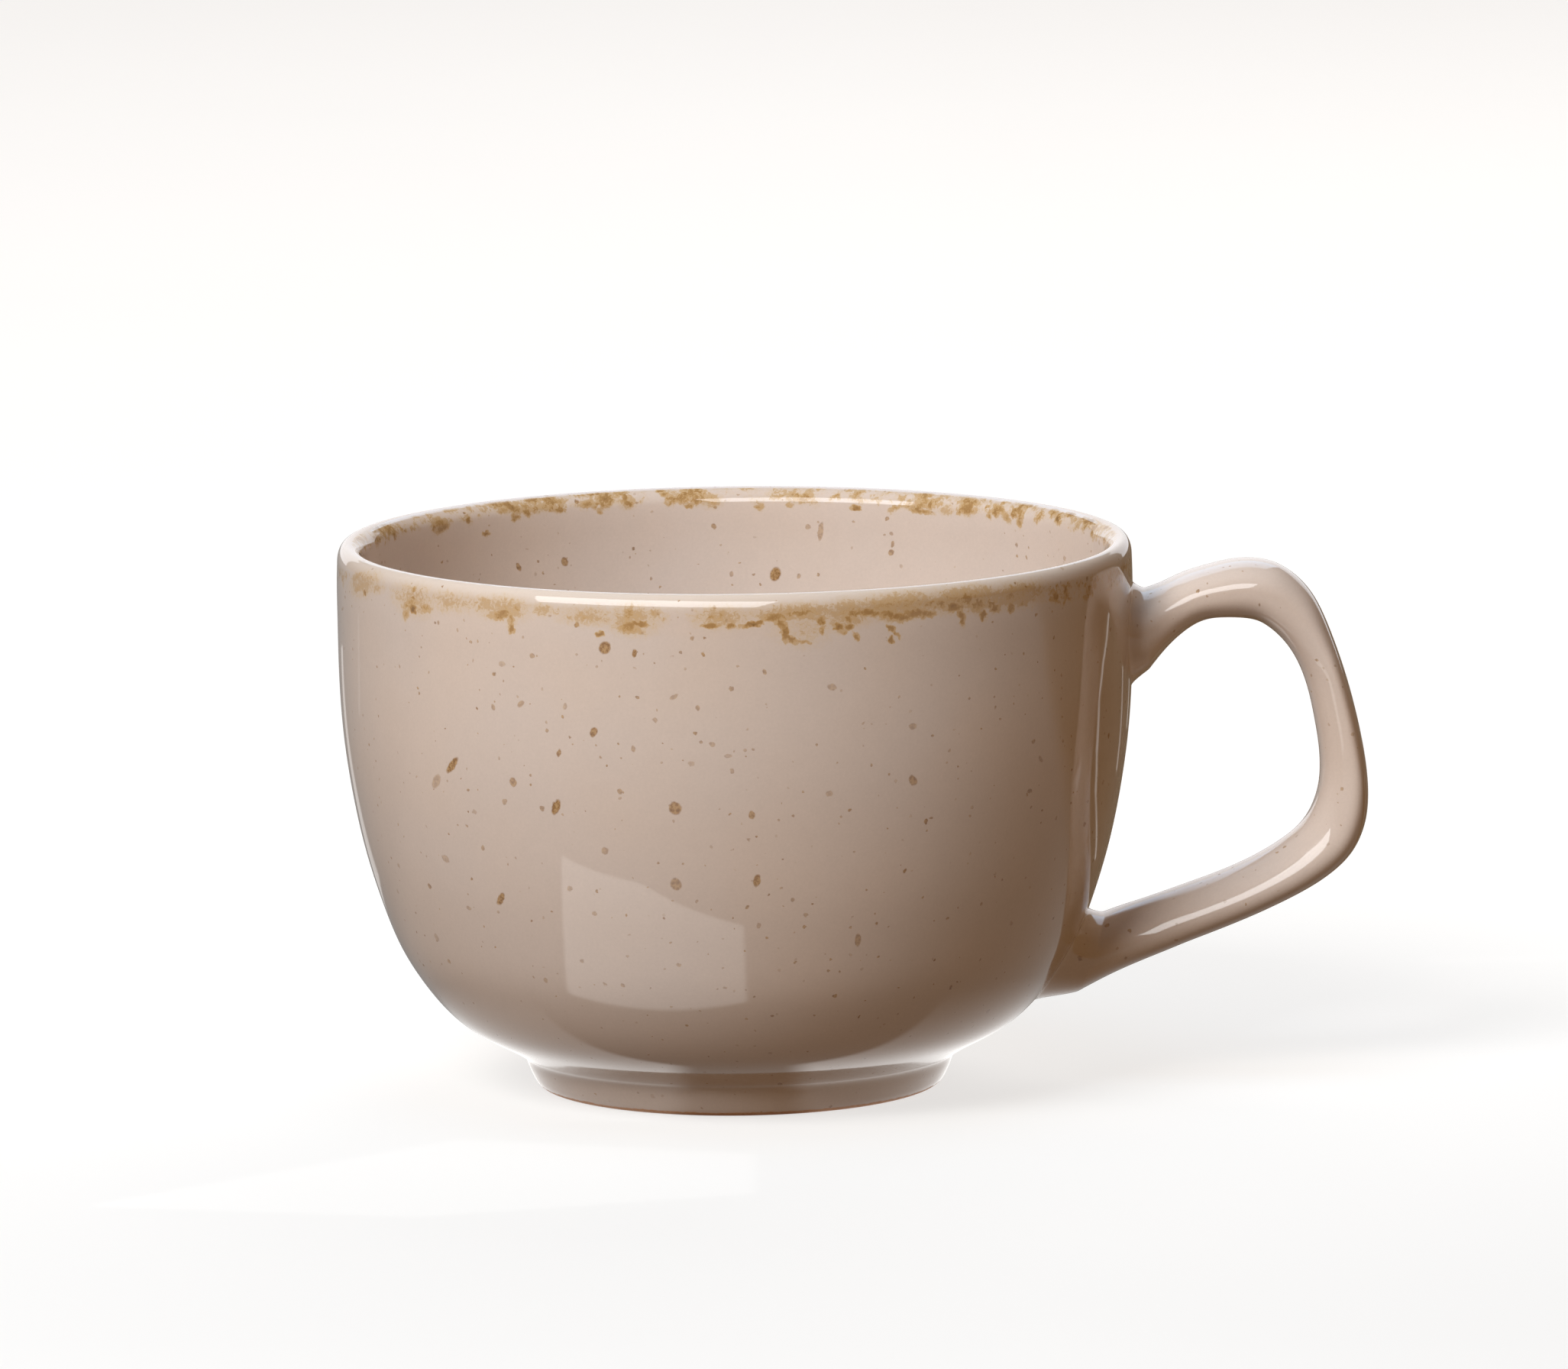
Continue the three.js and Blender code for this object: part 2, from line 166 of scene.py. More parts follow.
def spline(points):
    """A smooth curve through the points: returns a function of a parameter and its values."""
    p = np.asarray(points, float)
    t = np.concatenate([[0.0], np.cumsum(np.linalg.norm(np.diff(p[:, :2], axis=0), axis=1))])
    n = len(p)
    h = np.diff(t)
    a = np.zeros((n, n))
    b = np.zeros_like(p)
    a[0, 0] = a[-1, -1] = 1.0
    for i in range(1, n - 1):
        a[i, i - 1], a[i, i], a[i, i + 1] = h[i - 1], 2 * (h[i - 1] + h[i]), h[i]
        b[i] = 6 * ((p[i + 1] - p[i]) / h[i] - (p[i] - p[i - 1]) / h[i - 1])
    m = np.linalg.solve(a, b)

    def at(x):
        x = np.atleast_1d(np.asarray(x, float))
        i = np.clip(np.searchsorted(t, x, side="right") - 1, 0, n - 2)
        hi = h[i][:, None]
        u = (t[i + 1] - x)[:, None]
        v = (x - t[i])[:, None]
        return (m[i] * u ** 3 + m[i + 1] * v ** 3) / (6 * hi) \
            + (p[i] / hi - m[i] * hi / 6) * u + (p[i + 1] / hi - m[i + 1] * hi / 6) * v

    return at, t


def steps(t, spacing):
    """Parameters along a curve, each stretch between two points cut evenly to the spacing."""
    out = [t[0]]
    for a, b in zip(t[:-1], t[1:]):
        n = max(1, int(math.ceil((b - a) / spacing)))
        out.extend(np.linspace(a, b, n + 1)[1:])
    return np.array(out)


def outline_normals(points):
    d = np.gradient(points, axis=0)
    d /= np.maximum(np.linalg.norm(d, axis=1), 1e-9)[:, None]
    return np.stack([d[:, 1], -d[:, 0]], 1)


# ------------------------------------------------------------------ mesh tools


def build(name, verts, faces, normals, maps):
    """A mesh object in metres in the shared frame, with its own normals and UV maps."""
    mesh = bpy.data.meshes.new(name)
    co = np.asarray(verts, float).copy()
    co[:, 0] += AXIS_X
    mesh.from_pydata((co / 1000.0).tolist(), [], faces)
    mesh.polygons.foreach_set("use_smooth", [True] * len(mesh.polygons))
    for key, values in maps.items():
        layer = mesh.uv_layers.new(name=key)
        layer.data.foreach_set("uv", np.asarray(values, np.float32).ravel())
    mesh.uv_layers.active = mesh.uv_layers["Glaze"]
    mesh.uv_layers["Glaze"].active_render = True
    mesh.validate()
    mesh.update()
    if normals is not None:
        n = np.asarray(normals, float)
        n /= np.maximum(np.linalg.norm(n, axis=1), 1e-9)[:, None]
        mesh.normals_split_custom_set_from_vertices(n.tolist())
    obj = bpy.data.objects.new(name, mesh)
    scene.collection.objects.link(obj)
    return obj


def turned(name, outline, normals, along, bake_v, closed, zones=()):
    """Spins an outline of (radius, height) about the bowl's axis into one closed mesh.
    along: the millimetre coordinate of each outline point; bake_v: its place in the unrolled map;
    zones: the rows at which a new material begins."""
    verts, vnorm, rows = [], [], []
    # columns run from the handle's side round the back and the front to the handle's side
    ang = np.radians(-270.0 + 360.0 * np.arange(ROUND + 1) / ROUND)
    for (r, z), (nr, nz) in zip(outline, normals):
        if r < 1e-6:
            rows.append([len(verts)])
            verts.append((0.0, 0.0, z))
            vnorm.append((0.0, 0.0, 1.0 if nz > 0 else -1.0))
        else:
            rows.append(list(range(len(verts), len(verts) + ROUND)))
            for a in ang[:-1]:
                verts.append((r * math.sin(a), -r * math.cos(a), z))
                vnorm.append((nr * math.sin(a), -nr * math.cos(a), nz))
    faces, glaze, bake = [], [], []
    count = len(rows)
    pairs = [(i, i + 1) for i in range(count - 1)] + ([(count - 1, 0)] if closed else [])
    for i, k in pairs:
        vi, vk = bake_v[i][1], bake_v[k][0]
        si, sk = along[i][1], along[k][0]
        for j in range(ROUND):
            j2 = (j + 1) % ROUND
            u0, u1 = 46.0 * ang[j], 46.0 * ang[j + 1]
            b0, b1 = 0.004 + 0.992 * j / ROUND, 0.004 + 0.992 * (j + 1) / ROUND
            a, b = rows[i], rows[k]
            if len(a) == 1:
                faces.append((a[0], b[j2], b[j]))
                glaze += [((u0 + u1) / 2, si), (u1, sk), (u0, sk)]
                bake += [((b0 + b1) / 2, vi), (b1, vk), (b0, vk)]
            elif len(b) == 1:
                faces.append((a[j], a[j2], b[0]))
                glaze += [(u0, si), (u1, si), ((u0 + u1) / 2, sk)]
                bake += [(b0, vi), (b1, vi), ((b0 + b1) / 2, vk)]
            else:
                faces.append((a[j], a[j2], b[j2], b[j]))
                glaze += [(u0, si), (u1, si), (u1, sk), (u0, sk)]
                bake += [(b0, vi), (b1, vi), (b1, vk), (b0, vk)]
    obj = build(name, verts, faces, vnorm, {"OFBake": bake, "Glaze": glaze})
    if zones:
        obj.data.polygons.foreach_set(
            "material_index", [sum(i >= row * ROUND for row in zones) for i in range(len(obj.data.polygons))])
    return obj


# ------------------------------------------------------------------ bowl and foot

lip = []
for deg in (12, 24, 36, 48, 60, 72, 84, 90):
    a = math.radians(deg)
    lip.append((LIP_RIDGE[0] + (LIP_OUT[0] - LIP_RIDGE[0]) * math.cos(a),
                LIP_OUT[1] + (LIP_RIDGE[1] - LIP_OUT[1]) * math.sin(a)))
for deg in (96, 108, 120, 132, 144, 156, 168):
    a = math.radians(deg)
    lip.append((LIP_RIDGE[0] + (LIP_RIDGE[0] - LIP_IN[0]) * math.cos(a),
                LIP_OUT[1] + (LIP_RIDGE[1] - LIP_OUT[1]) * math.sin(a)))
mirror = [(-r, z) for r, z in reversed(INSIDE)]
whole = FOOT_OUTSIDE + OUTSIDE + [LIP_OUT] + lip + [LIP_IN] + INSIDE + [(0.0, 7.6)] + mirror[:3]
curve, curve_t = spline(whole)
join_at = len(FOOT_OUTSIDE)
ridge_at = len(FOOT_OUTSIDE) + len(OUTSIDE) + 1 + 7
axis_at = len(whole) - 4

dense_t = steps(curve_t[: axis_at + 1], 0.9)
lip_fine = np.linspace(curve_t[ridge_at - 8], curve_t[ridge_at + 8], 49)
dense_t = np.unique(np.round(np.concatenate([
    dense_t[(dense_t < lip_fine[0] - 1e-6) | (dense_t > lip_fine[-1] + 1e-6)], lip_fine,
    np.linspace(curve_t[0], curve_t[join_at + 4], 40)]), 6))
keep = np.concatenate([[True], np.diff(dense_t) > 0.04])
keep |= np.isin(np.round(dense_t, 6), np.round(curve_t[[0, join_at, ridge_at, axis_at]], 6))
dense_t = dense_t[keep]
line = curve(dense_t)
eps = 1e-3
tangent = curve(np.minimum(dense_t + eps, curve_t[-1])) - curve(np.maximum(dense_t - eps, 0.0))
tangent /= np.linalg.norm(tangent, axis=1)[:, None]
line_n = np.stack([tangent[:, 1], -tangent[:, 0]], 1)
line[-1] = (0.0, line[-1][1])
arc = np.concatenate([[0.0], np.cumsum(np.linalg.norm(np.diff(line, axis=0), axis=1))])
i_join = int(np.argmin(np.abs(dense_t - curve_t[join_at])))
i_ridge = int(np.argmin(np.abs(dense_t - curve_t[ridge_at])))
from_lip = arc[i_ridge] - arc          # positive outside, negative inside

under_r = np.concatenate([np.linspace(0.0, 16.0, 12), np.linspace(17.0, 25.0, 9)[:-1]])
under = np.stack([under_r, np.full(len(under_r), JOIN_Z)], 1)
under_arc = from_lip[i_join] + (25.0 - under_r)
total = (25.0 + 6.0) + (arc[-1] - arc[i_join]) + 6.0
bowl_outline = [tuple(p) for p in under] + [(line[i_join][0] - 0.03, JOIN_Z)] + [tuple(p) for p in line[i_join:]]
bowl_normals = [(0.0, -1.0)] * (len(under) + 1) + [tuple(n) for n in line_n[i_join:]]
bowl_along = [(s, s) for s in under_arc] + [(from_lip[i_join],) * 2] + [(s, s) for s in from_lip[i_join:]]
v_under = 0.004 + 0.992 * under_r / total
v_line = 0.004 + 0.992 * (25.0 + 6.0 + arc[i_join:] - arc[i_join]) / total
bowl_bake = [(v, v) for v in v_under] + [(0.004 + 0.992 * 25.0 / total,) * 2] + [(v, v) for v in v_line]


i_rim = int(np.argmin(np.abs(line[: i_ridge, 1] - RIM_Z)))
bowl = turned("cup_bowl", bowl_outline, bowl_normals, bowl_along, bowl_bake, False,
              zones=(len(under) + 1 + i_rim - i_join, len(under) + 1 + i_ridge - i_join))

foot_out = line[: i_join + 1]
inner_curve, inner_t = spline(FOOT_INSIDE)
foot_in = inner_curve(steps(inner_t, 0.2))
flat = np.stack([np.linspace(20.6, FOOT_OUTSIDE[0][0], 7)[1:-1], np.zeros(5)], 1)
crown = np.stack([np.linspace(foot_out[-1][0], 18.6, 9)[1:-1], np.full(7, JOIN_Z)], 1)
foot_outline = np.concatenate([foot_out, crown, foot_in[::-1], flat])
foot_normals = np.concatenate([
    line_n[: i_join + 1], np.tile([0.0, 1.0], (7, 1)),
    -outline_normals(foot_in)[::-1] * np.array([1, 1]), np.tile([0.0, -1.0], (5, 1))])
foot_arc = np.concatenate([[0.0], np.cumsum(np.linalg.norm(np.diff(foot_outline, axis=0), axis=1))])
foot_total = foot_arc[-1] + np.linalg.norm(foot_outline[0] - foot_outline[-1])
foot_along = [(from_lip[0] - a, from_lip[0] - a) for a in foot_arc]
foot_bake = [(0.004 + 0.992 * a / foot_total,) * 2 for a in foot_arc]
foot_along[0] = (from_lip[0] - foot_total, from_lip[0])
foot_bake[0] = (0.996, 0.004)
foot = turned("cup_foot_ring", [tuple(p) for p in foot_outline], [tuple(n) for n in foot_normals],
              foot_along, foot_bake, True)


# ------------------------------------------------------------------ handle

AROUND = 80
theta = 2 * math.pi * np.arange(AROUND) / AROUND


def section(outer, inner, depth, power=SQUARENESS, power_in=SQUARENESS, taper=0.0, bevel=0.0):
    """A fuller ellipse between an outer and an inner point, wider outside or bevelled inside."""
    c, s = np.cos(theta), np.sin(theta)
    along = np.where(c > 0, np.abs(c) ** (2 / power), -np.abs(c) ** (2 / power_in))
    across = np.sign(s) * np.where(c > 0, np.abs(s) ** (2 / power), np.abs(s) ** (2 / power_in))
    across = across * depth * (1 + taper * along - bevel * 0.07 * np.log1p(np.exp(-along / 0.07)))
    mid = (np.asarray(outer) + np.asarray(inner)) / 2
    half = (np.asarray(outer) - np.asarray(inner)) / 2
    return np.stack([mid[0] + half[0] * along, across, mid[1] + half[1] * along], 1)


grip = np.array(GRIP)
mid_curve, mid_t = spline(grip[:, :2])
d_mid = mid_curve(np.minimum(mid_t + 0.05, mid_t[-1])) - mid_curve(np.maximum(mid_t - 0.05, 0.0))
d_mid /= np.linalg.norm(d_mid, axis=1)[:, None]
stations = [(*outer, *inner, depth, SQUARENESS, SQUARENESS, 0.0, 0.0) for outer, inner, depth in UPPER_NECK]
for k, (x, z, half) in enumerate(GRIP):
    ox, oz = -d_mid[k][1], d_mid[k][0]
    depth = HALF_DEPTH * (1 - 0.05 * math.sin(math.pi * k / (len(GRIP) - 1)))
    stations.append((x + ox * half, z + oz * half, x - ox * half, z - oz * half, depth,
                     *(float(np.interp(k, *table)) for table in (SQUARER, SQUARER_IN, TAPER, BEVEL))))
stations += [(*outer, *inner, depth, 2.4, 2.4, 0.03, bevel)
             for (outer, inner, depth), bevel in zip(LOWER_NECK, (0.17, 0.06))]
stations = np.array(stations)
centre = np.stack([(stations[:, 0] + stations[:, 2]) / 2, (stations[:, 1] + stations[:, 3]) / 2], 1)
strap_curve, strap_t = spline(np.concatenate([centre, stations], 1))


def strap(t):
    v = strap_curve(t)[0]
    return section((v[2], v[3]), (v[4], v[5]), *v[6:11])


strap_steps = np.linspace(0.0, strap_t[-1], 190)
strap_rows = np.array([strap(t) for t in strap_steps])

wall_curve = line[i_join: i_ridge + 1]


def wall_radius(z):
    return np.interp(z, wall_curve[:, 1], wall_curve[:, 0])


def wall_at(z, y):
    r = wall_radius(z)
    x = np.sqrt(np.maximum(r * r - y * y, 1.0))
    dr = (wall_radius(z + 0.2) - wall_radius(z - 0.2)) / 0.4
    n = np.stack([x / r, y / r, -dr], 1)
    n /= np.linalg.norm(n, axis=1)[:, None]
    return np.stack([x, y, z], 1), n


def root(ring, inward, top_z, low_z, half_width, outer_is_top, reach_near, reach_wall, rows=26):
    """Rows of a slip fillet from a ring of the strap down to the wall, meeting it tangent."""
    c, s = np.cos(theta), np.sin(theta)
    power = 2 / 2.2
    cc = np.sign(c) * np.abs(c) ** power * (1 if outer_is_top else -1)
    ss = np.sign(s) * np.abs(s) ** power
    z = (top_z + low_z) / 2 + (top_z - low_z) / 2 * cc
    y = half_width * ss
    foot_p, foot_n = wall_at(z, y)
    out = foot_p - foot_p.mean(0)
    out -= (out * foot_n).sum(1)[:, None] * foot_n
    out /= np.linalg.norm(out, axis=1)[:, None]
    gap = np.linalg.norm(foot_p - ring, axis=1)[:, None]
    near = reach_near if np.ndim(reach_near) == 0 else reach_near[:, None]
    wall = reach_wall if np.ndim(reach_wall) == 0 else reach_wall[:, None]
    m0 = inward * gap * near
    m1 = out * gap * wall
    grid = []
    for t in np.linspace(0.0, 1.0, rows):
        a, b = 2 * t ** 3 - 3 * t ** 2 + 1, t ** 3 - 2 * t ** 2 + t
        e, f = -2 * t ** 3 + 3 * t ** 2, t ** 3 - t ** 2
        grid.append(a * ring + b * m0 + e * (foot_p - foot_n * 0.03) + f * m1)
    return np.array(grid), foot_p - foot_n * 0.7, foot_n


def unit(v):
    return v / np.maximum(np.linalg.norm(v, axis=-1), 1e-9)[..., None]


into_upper = unit(strap(0.0) - strap(0.25))
into_lower = unit(strap(strap_t[-1]) - strap(strap_t[-1] - 0.25))
upper_rows, upper_sunk, upper_wall = root(strap_rows[0], into_upper, 58.2, 46.0, 7.9, True, 0.5, 0.6)
low_side = 0.5 + 0.5 * np.cos(theta)       # 1 under the lower root
lower_rows, lower_sunk, lower_wall = root(strap_rows[-1], into_lower, 20.0, 9.25, 8.6, False,
                                          0.5, 0.6 - 0.3 * low_side)

skin = np.concatenate([upper_rows[::-1][:-1], strap_rows, lower_rows[1:]])
d_along = np.gradient(skin, axis=0)
d_around = (np.roll(skin, -1, 1) - np.roll(skin, 1, 1)) / 2
skin_n = unit(np.cross(d_along, d_around))
if (skin_n * (skin - skin.mean(1, keepdims=True))).sum() < 0:
    skin_n = -skin_n
for k, share in enumerate((1.0, 0.75, 0.4, 0.15)):      # the fillets run out flush on the wall
    skin_n[k] = unit(skin_n[k] * (1 - share) + upper_wall * share)
    skin_n[-1 - k] = unit(skin_n[-1 - k] * (1 - share) + lower_wall * share)
n_up = len(upper_rows)


def tube(name, rows, normals, sunk_first=None, sunk_last=None):
    """A closed tube through rows of points; a sunk ring closes an end inside the wall."""
    rings, ring_n = list(rows), list(normals)
    if sunk_first is not None:
        rings.insert(0, sunk_first)
        ring_n.insert(0, normals[0])
    if sunk_last is not None:
        rings.append(sunk_last)
        ring_n.append(normals[-1])
    verts = [tuple(p) for ring in rings for p in ring]
    vn = [tuple(p) for ring in ring_n for p in ring]
    count = len(rings)
    lengths = np.concatenate([[0.0], np.cumsum([
        np.linalg.norm(np.mean(rings[i + 1], 0) - np.mean(rings[i], 0)) + 0.05 for i in range(count - 1)])])
    u_of = 0.06 + 0.88 * lengths / lengths[-1]
    faces, glaze, bake = [], [], []
    for i in range(count - 1):
        for k in range(AROUND):
            k2 = (k + 1) % AROUND
            faces.append((i * AROUND + k, (i + 1) * AROUND + k, (i + 1) * AROUND + k2, i * AROUND + k2))
            v0, v1 = 0.01 + 0.98 * k / AROUND, 0.01 + 0.98 * (k + 1) / AROUND
            bake += [(u_of[i], v0), (u_of[i + 1], v0), (u_of[i + 1], v1), (u_of[i], v1)]
            g0, g1 = 32.0 * k / AROUND, 32.0 * (k + 1) / AROUND
            glaze += [(lengths[i], g0), (lengths[i + 1], g0), (lengths[i + 1], g1), (lengths[i], g1)]
    for first, side in ((True, 0), (False, count - 1)):
        hub = len(verts)
        verts.append(tuple(np.mean(rings[side], 0)))
        away = np.mean(rings[side], 0) - np.mean(rings[1 if first else count - 2], 0)
        vn.append(tuple(away))
        cu = 0.025 if first else 0.975
        for k in range(AROUND):
            k2 = (k + 1) % AROUND
            a, b = side * AROUND + k, side * AROUND + k2
            faces.append((hub, a, b) if first else (hub, b, a))
            pa = (cu + 0.02 * math.cos(theta[k]), 0.5 + 0.4 * math.sin(theta[k]))
            pb = (cu + 0.02 * math.cos(theta[k2]), 0.5 + 0.4 * math.sin(theta[k2]))
            bake += [(cu, 0.5), pa, pb] if first else [(cu, 0.5), pb, pa]
            glaze += [(0.0, 0.0)] * 3
    obj = build(name, verts, faces, None, {"OFBake": bake, "Glaze": glaze})
    mesh = obj.data
    mesh.normals_split_custom_set_from_vertices([tuple(unit(np.array(n, float))) for n in vn])
    return obj


def outward(obj):
    """The volume of a closed mesh; it comes out negative if its faces point inward."""
    mesh = obj.data
    mesh.calc_loop_triangles()
    co = np.zeros(len(mesh.vertices) * 3)
    mesh.vertices.foreach_get("co", co)
    co = co.reshape(-1, 3)
    tri = np.zeros(len(mesh.loop_triangles) * 3, int)
    mesh.loop_triangles.foreach_get("vertices", tri)
    tri = tri.reshape(-1, 3)
    a, b, c = co[tri[:, 0]], co[tri[:, 1]], co[tri[:, 2]]
    return float((a * np.cross(b, c)).sum() / 6.0)


upper_joint = tube("cup_upper_handle_joint", skin[:n_up], skin_n[:n_up], sunk_first=upper_sunk)
handle = tube("cup_handle", skin[n_up - 1: n_up - 1 + len(strap_rows)],
              skin_n[n_up - 1: n_up - 1 + len(strap_rows)])
lower_joint = tube("cup_lower_handle_joint", skin[n_up + len(strap_rows) - 2:],
                   skin_n[n_up + len(strap_rows) - 2:], sunk_last=lower_sunk)

for piece in (bowl, foot, handle, upper_joint, lower_joint):
    print("volume", piece.name, outward(piece) * 1e9, "mm3")

# ------------------------------------------------------------------ materials


class Graph:
    """Small helper for wiring a node tree."""

    def __init__(self, tree):
        self.tree = tree

    def node(self, kind, **props):
        n = self.tree.nodes.new(kind)
        for key, value in props.items():
            setattr(n, key, value)
        return n

    def put(self, socket, value):
        if isinstance(value, bpy.types.NodeSocket):
            self.tree.links.new(value, socket)
        else:
            socket.default_value = value

    def math(self, op, a, b=0.0, c=0.0, clamp=False):
        n = self.node("ShaderNodeMath", operation=op, use_clamp=clamp)
        self.put(n.inputs[0], a)
        self.put(n.inputs[1], b)
        self.put(n.inputs[2], c)
        return n.outputs[0]

    def add(self, a, b):
        return self.math("ADD", a, b)

    def mul(self, a, b):
        return self.math("MULTIPLY", a, b)

    def vec(self, op, a, b=(0.0, 0.0, 0.0), scale=1.0):
        n = self.node("ShaderNodeVectorMath", operation=op)
        self.put(n.inputs[0], a)
        if op == "SCALE":
            self.put(n.inputs["Scale"], scale)
        elif op != "LENGTH":
            self.put(n.inputs[1], b)
        return n.outputs["Value"] if op in ("LENGTH", "DISTANCE", "DOT_PRODUCT") else n.outputs["Vector"]

    def step(self, x, lo, hi, a=0.0, b=1.0):
        n = self.node("ShaderNodeMapRange", interpolation_type="SMOOTHSTEP", clamp=True)
        self.put(n.inputs["Value"], x)
        self.put(n.inputs["From Min"], lo)
        self.put(n.inputs["From Max"], hi)
        self.put(n.inputs["To Min"], a)
        self.put(n.inputs["To Max"], b)
        return n.outputs[0]

    def noise(self, vector, scale, detail=2.0, rough=0.5, warp=0.0):
        n = self.node("ShaderNodeTexNoise", noise_dimensions="3D")
        self.put(n.inputs["Vector"], vector)
        self.put(n.inputs["Scale"], scale)
        self.put(n.inputs["Detail"], detail)
        self.put(n.inputs["Roughness"], rough)
        self.put(n.inputs["Distortion"], warp)
        return n.outputs["Fac"], n.outputs["Color"]

    def cells(self, vector, scale):
        n = self.node("ShaderNodeTexVoronoi", voronoi_dimensions="3D", feature="F1")
        self.put(n.inputs["Vector"], vector)
        self.put(n.inputs["Scale"], scale)
        return n.outputs["Distance"], n.outputs["Color"]

    def split(self, vector):
        n = self.node("ShaderNodeSeparateXYZ")
        self.put(n.inputs[0], vector)
        return n.outputs

    def join(self, x, y, z):
        n = self.node("ShaderNodeCombineXYZ")
        for s, v in zip(n.inputs, (x, y, z)):
            self.put(s, v)
        return n.outputs[0]

    def mix(self, fac, a, b, blend="MIX"):
        n = self.node("ShaderNodeMix", data_type="RGBA", blend_type=blend)
        self.put(n.inputs[0], fac)
        self.put(n.inputs[6], a)
        self.put(n.inputs[7], b)
        return n.outputs[2]

    def ellipse(self, spot, place, tilt, half, after=None):
        """Squared distance from a speck's middle, 1 on its edge; spot is (u, s, 1)."""
        c, d = math.cos(tilt), math.sin(tilt)
        one = (c / half[0], d / half[0], -(c * place[0] + d * place[1]) / half[0])
        two = (-d / half[1], c / half[1], -(-d * place[0] + c * place[1]) / half[1])
        if after is not None:
            # waits for the speck before it, so that a long list keeps few values open
            w = self.node("ShaderNodeVectorMath", operation="MULTIPLY_ADD")
            self.put(w.inputs[0], after)
            w.inputs[1].default_value = (0.0, 0.0, 0.0)
            self.put(w.inputs[2], spot)
            spot = w.outputs[0]
        x = self.vec("DOT_PRODUCT", spot, one)
        y = self.vec("DOT_PRODUCT", spot, two)
        return self.math("MULTIPLY_ADD", x, x, self.mul(y, y))


BASE_WARM = (0.575, 0.478, 0.41, 1.0)
BASE_COOL = (0.555, 0.476, 0.425, 1.0)
CREAM = (0.655, 0.585, 0.505, 1.0)
WASH = (0.56, 0.425, 0.27, 1.0)
TAN = (0.50, 0.325, 0.14, 1.0)
BROWN = (0.325, 0.18, 0.06, 1.0)
SPECK_LIGHT = (0.40, 0.245, 0.10, 1.0)
SPECK_DARK = (0.24, 0.12, 0.037, 1.0)
DARK = (0.135, 0.066, 0.022, 1.0)
CLAY = (0.40, 0.18, 0.07, 1.0)

# how thick the scattered part of the brown band is, by degrees from the front towards the handle;
# it is thin where the main blots are listed one by one
BAND_OUT = [
    (-270, 0.8), (-245, 0.5), (-215, 0.95), (-190, 0.55), (-165, 0.9), (-140, 0.65), (-115, 0.5), (-92, 0.85),
    (-78, 0.6), (-70, 0.30), (-60, 0.18), (-52, 0.30), (-45, 0.20), (-36, 0.30), (-24, 0.18), (-14, 0.28),
    (-6, 0.16), (6, 0.30), (18, 0.42), (32, 0.48), (46, 0.45), (55, 0.85), (70, 0.7), (90, 0.8),
]
BAND_IN = [
    (-270, 0.9), (-240, 0.95), (-230, 0.95), (-212, 0.9), (-200, 0.75), (-186, 0.8), (-176, 0.95), (-166, 0.85),
    (-150, 0.95), (-143, 0.8), (-138, 0.9), (-126, 1.0), (-112, 0.95), (-80, 0.6), (-40, 0.9),
    (0, 0.65), (40, 0.95), (90, 0.9),
]


def lip_place(deg, z, inside):
    """Where a speck lies in the bowl's millimetre map."""
    if inside:
        zz, ss = line[i_ridge:, 1][::-1], from_lip[i_ridge:][::-1]
    else:
        zz, ss = line[: i_ridge + 1, 1], from_lip[: i_ridge + 1]
    s = float(np.interp(z, zz, ss))
    deg = deg if deg < 90 else deg - 360
    return 46.0 * math.radians(deg), s


